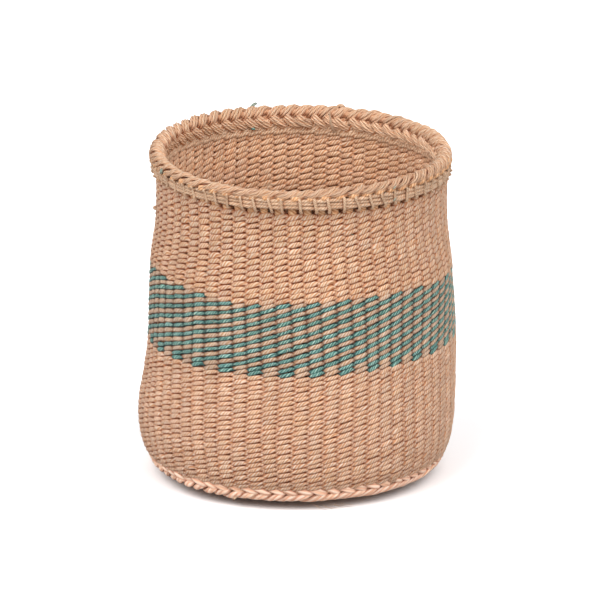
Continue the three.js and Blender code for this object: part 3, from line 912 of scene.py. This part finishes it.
# The crest of the border, and the herringbone and plain rows that line it
crest = Strands()
plaited_row(crest, [
    (72.9, -0.3, 164, 10, 0.7, 0.8), (74, 0, 164.6, 20, 0.75, 1), (74.2, 0.35, 165, 40, 0.8, 1.3),
    (73.5, 0.7, 165.6, 65, 0.85, 1.6), (72.2, 1, 166.4, 85, 0.9, 1.75), (70.5, 1.3, 166.2, 110, 1, 2),
    (68.8, 1.6, 164.8, 140, 1, 2.2), (67.8, 1.9, 163.5, 170, 0.95, 2), (68.4, 2.1, 162.2, 190, 0.8, 1.3),
], yarns=3, steps=26, section=7, wobble=0.13, end_share=0.12, crown=0.5, overhang=1.6)
crest.build("rim_crest", pale, "rim_cord", ["rim_plait"])
lining = Strands()
# The lining is painted lighter (value 5.5), as painted light inside the rim.
plaited_row(lining, [
    (69.3, -0.45, 158.1, 180, 0.9, 1.2), (68, -0.1, 159.1, 180, 1, 1.7), (67.4, 0.25, 160.6, 180, 1.05, 1.9),
    (67.4, 0.6, 162.1, 180, 1, 1.9), (68.1, 0.95, 163.6, 180, 0.9, 1.4),
], yarns=3, steps=16, section=7, value=5.5, wobble=0.14, crown=0.3)


def inside_stitches(strands, height_at):
    """A row that shows only on the inside, level with the cord round the rim."""
    from_stitch = np.linspace(-0.8, 0.8, 11)
    share = smooth(0.8, 0.35, np.abs(from_stitch))
    size = 0.8 + 0.2 * share
    for column in range(COLUMNS):
        u = column + from_stitch
        radius = 69.5 - 0.9 * share + rng.normal(0, 0.05)
        height = height_at - 2 * PLAIN.slant * from_stitch + rng.normal(0, 0.1)
        # painted light and painted shade: the row is painted lighter, as light inside the rim, and darker
        # where it tucks behind the stakes
        tone = tones(rng.normal(2.5, 0.5), 0.0, 0.35 * (1 - share[:, None]))
        add_cord(strands, *placed(radius, u, height, -1.0), 0.95 * size, 1.42 * size, tone, section=10)


for height_at in (153.9, 156.4, 158.9, 161.4):
    inside_stitches(lining, height_at)
# Plain rings that close the gaps of the plait from within, painted in shade so that the gaps look dark:
# piece, distance from the axis, height, painted shade
shade_filler = Strands()
u = np.arange(COLUMNS * 4) / 4
for strands, radius_at, height_at, shade in (
    (lining, 69.4, 162.4, 0.45), (lining, 69.8, 164.2, 0.45), (shade_filler, 72.0, 163.8, 0.95),
):
    radius, height = np.full(len(u), radius_at), np.full(len(u), height_at)
    add_cord(strands, *placed(radius, u, height), 1.3, 1.7, tones(depth=shade), ring=True)
lining.build("rim_lining", pale, "rim_cord", ["rim_plait"])
shade_filler.build("rim_filler", stake_look, "rim_cord", ["rim_plait"])


# Loose fibres, and the small teal ends and specks that the weaver left
def column_at(across, radius, height, back):
    """The column coordinate of a point so far to the right of the axis, on the front or the back."""
    deep = math.sqrt(radius**2 - across**2) * (1 if back else -1)
    angle = math.atan2(deep, across) % (2 * math.pi)
    return (angle - TWIST * (height - TWIST_CENTRE)) / STEP + FIRST_COLUMN


def fibre(strands, radius, u, height, way, lift, length, thickness):
    """A fibre that leaves the surface, arches away by lift and ends near it."""
    steps = 9
    t = np.linspace(0, 1, steps)
    bend = rng.normal(0, 0.25) * t**2 * length
    way_u, way_z = way / np.linalg.norm(way)
    own_u = u + (way_u * t * length - bend * way_z) / (radius * STEP)
    own_z = height + way_z * t * length + bend * way_u
    arch = lift * np.sin(np.pi * np.clip(1.15 * t, 0, 1))
    points = place(radius - 0.25 + arch, own_u, own_z)
    _, facing = placed(np.full(steps, radius), own_u, own_z)
    thick = thickness * taper(steps, 0, 0.4, 0.35)
    add_cord(strands, points, facing, thick, thick, tones(1.0, 0.3), section=4, pitch=30.0, groove=0.0)


def add_fuzz(strands, count, heights, radius_at, upward, lifts, longest):
    """Scatters fibres over a range of heights. upward is how much they tend to point up."""
    for _ in range(count):
        height = rng.uniform(*heights)
        radius = radius_at(height)
        u = rng.uniform(0, COLUMNS)
        way = rng.normal((0, upward), (1, 0.5))
        lift = rng.uniform(*lifts)
        length = rng.uniform(2.5, longest)
        fibre(strands, radius, u, height, way, lift, length, rng.uniform(0.035, 0.06))


def outside(height):
    """How far from the axis the outer surface is."""
    if height >= 152:
        return rng.uniform(75.6, 76.6)
    return guide.point(guide.length_at_height(height))[0] + WALL_FACE


def inside_rim(_):
    return 65.6


fuzz = Strands()
add_fuzz(fuzz, 420, (12, 168), outside, 0.25, (0.15, 0.9), 8)
add_fuzz(fuzz, 120, (152, 167), inside_rim, 0.0, (-0.8, -0.1), 7)
fuzz.build("loose_fibres", pale, "natural_weft")


def loose_thread(strands, stops, back, fibres, thickness, spread=0.3, dyed=0.0, value=2.0):
    """Fibres side by side through stops: distance to the right of the axis, distance from it, height."""
    steps = 12
    rows = [(radius, column_at(across, radius, height, back), height) for across, radius, height in stops]
    path = curve_through(rows, steps)
    in_mm = [1, 1 / (path[:, 0].mean() * STEP), 1]
    thick = thickness * taper(steps, 0.15, 0.3, 0.4)
    for _ in range(fibres):
        drawn_apart = np.linspace(0.4, 1.0, steps)[:, None] * rng.normal(0, spread, 3) * in_mm
        radius, u, height = (path + drawn_apart).T
        tone = tones(value, dyed=dyed)
        add_cord(strands, *placed(radius, u, height), thick, thick, tone, section=6, pitch=3.0)


# The threads and ends that the photograph shows: stops, whether at the back, fibres, thickness, how far
# the fibres spread, how teal they are and their value. NUB stands up at the back, the next three lie inside.
BACK, FRONT = True, False
NUB = [(18.1, 73.4, 165.2), (18.7, 73.4, 166.9), (20.2, 73.2, 167.6), (21.8, 73.2, 166.6), (22, 73.2, 165.2)]
INNER_1 = [(14.2, 68.6, 165.2), (15, 66, 162.2), (15.9, 65.8, 159), (17.1, 66.9, 155.6)]
INNER_2 = [(-2.9, 66.2, 163.2), (-1.6, 65.7, 161.4), (1.1, 65.6, 159.8), (4.7, 66.2, 158.8)]
INNER_3 = [(1.1, 66, 161.9), (3, 65.6, 162.5), (4.6, 65.7, 162), (5.7, 66.4, 160.6)]
THREADS = [
    (NUB, BACK, 3, 0.8), (INNER_1, BACK, 4, 0.22, 0.35, 0, 5), (INNER_2, BACK, 3, 0.26, 0.2, 0, 5),
    (INNER_3, BACK, 2, 0.28, 0.2, 0, 4),
]
for x in (-19, -17.4, -16.2, -14.9):
    stops = [(x, 69.2, 166.4), (x + 1, 68.6, 168.2), (x + 2.6, 68, 169.6)]
    THREADS.append((stops, FRONT, 2, 0.13, 0.3, 0, 5))
THREADS += [
    ([(-71.3, 71.8, 136.5), (-73, 73.4, 137), (-72.4, 72.7, 137.9)], FRONT, 3, 0.6, 0.1),
    ([(-31, 75, 5.6), (-30.2, 75.9, 6.4), (-29, 75.2, 7.2)], FRONT, 2, 0.4),
]
for x in (9, 13, 16, 19, 22):
    THREADS.append(([(x, 73.6, 4.2), (x + 2.5, 74.4, 3), (x + 6, 74, 2)], FRONT, 2, 0.1, 0.6, 0, 8))
TEAL_ENDS = [
    ([(-25.2, 73, 165.4), (-23.4, 73.4, 167.3), (-21.2, 73.6, 168.3)], BACK, 4, 0.4, 0.25, 0.7, 1),
    ([(-23.4, 70.6, 166.4), (-22.6, 69.4, 165.6), (-22.4, 68.6, 164.8)], BACK, 2, 0.4, 0.2, 1, 0),
    ([(-24.4, 66.9, 158.6), (-23.2, 65.9, 158.8), (-22.4, 66.6, 158.2)], BACK, 2, 0.5, 0.2, 1, 0),
    ([(-68.8, 75.6, 163), (-68.7, 76, 164.4), (-68.5, 75.6, 165.8)], FRONT, 3, 0.6, 0.2, 0.75, 2),
    ([(45.8, 76, 164), (46.5, 76.2, 164.6), (47.4, 76, 165)], FRONT, 2, 0.4, 0.2, 0.5, 2),
    ([(45.6, 75.6, 157.2), (46.4, 76, 158), (47.2, 75.7, 158.8)], FRONT, 2, 0.45, 0.2, 0.5, 2),
]
for name, rows, material, slot in (
    ("loose_threads", THREADS, pale, "natural_weft"), ("teal_ends", TEAL_ENDS, banded, "band_weft"),
):
    strands = Strands()
    for row in rows:
        loose_thread(strands, *row)
    strands.build(name, material, slot)

# Floor, light and camera
FLOOR_SIDE = 6.0
FLOOR_SEEN = (1.28, 1.29, 1.31, 1)  # makes the floor white in the picture, with a soft shadow
FLOOR_UNSEEN = (0.45, 0.45, 0.45, 1)  # what it throws back at the basket
WHITE = (1, 1, 1, 1)
ROOM_LIGHT = 0.43
floor_mesh = bpy.data.meshes.new("floor")
corners = [(x * FLOOR_SIDE, y * FLOOR_SIDE, 0) for x, y in ((-1, -1), (1, -1), (1, 1), (-1, 1))]
floor_mesh.from_pydata(corners, [], [(0, 1, 2, 3)])
floor = new_object("floor", floor_mesh)
white_floor = bpy.data.materials.new("white floor")
nodes = Nodes(white_floor)
unseen = nodes.add("ShaderNodeBsdfDiffuse", FLOOR_UNSEEN)
seen = nodes.add("ShaderNodeBsdfDiffuse", FLOOR_SEEN)
nodes.add("ShaderNodeOutputMaterial", nodes.for_camera(unseen, seen))
floor_mesh.materials.append(white_floor)

world = bpy.data.worlds.new("white room")
nodes = Nodes(world)
unseen = nodes.add("ShaderNodeBackground", WHITE, ROOM_LIGHT)
seen = nodes.add("ShaderNodeBackground", WHITE, 1.0)
nodes.add("ShaderNodeOutputWorld", nodes.for_camera(unseen, seen))
bpy.context.scene.world = world


def soft_sun(name, azimuth, elevation, strength, angle):
    """A broad lamp far away. azimuth is in degrees to the right of the camera's side."""
    data = bpy.data.lights.new(name, "SUN")
    data.energy = strength * math.pi
    data.angle = math.radians(angle)
    light = new_object(name, data)
    turn, rise = math.radians(azimuth), math.radians(elevation)
    towards = Vector((math.sin(turn) * math.cos(rise), -math.cos(turn) * math.cos(rise), math.sin(rise)))
    light.location = towards * 2
    light.rotation_euler = towards.to_track_quat("Z", "Y").to_euler()


soft_sun("left lamp", azimuth=-47, elevation=48, strength=0.625, angle=50)
soft_sun("right lamp", azimuth=44, elevation=48, strength=0.53, angle=50)

ELEVATION = math.radians(17)
DISTANCE = 10.0
AIM = Vector((0, 0, 0.0883))
camera_data = bpy.data.cameras.new("camera")
camera_data.lens = 1200
camera = new_object("camera", camera_data)
camera.location = AIM + DISTANCE * Vector((0, -math.cos(ELEVATION), math.sin(ELEVATION)))
camera.rotation_euler = (AIM - camera.location).to_track_quat("-Z", "Y").to_euler()
bpy.context.scene.camera = camera
bpy.context.scene.view_settings.view_transform = "Standard"
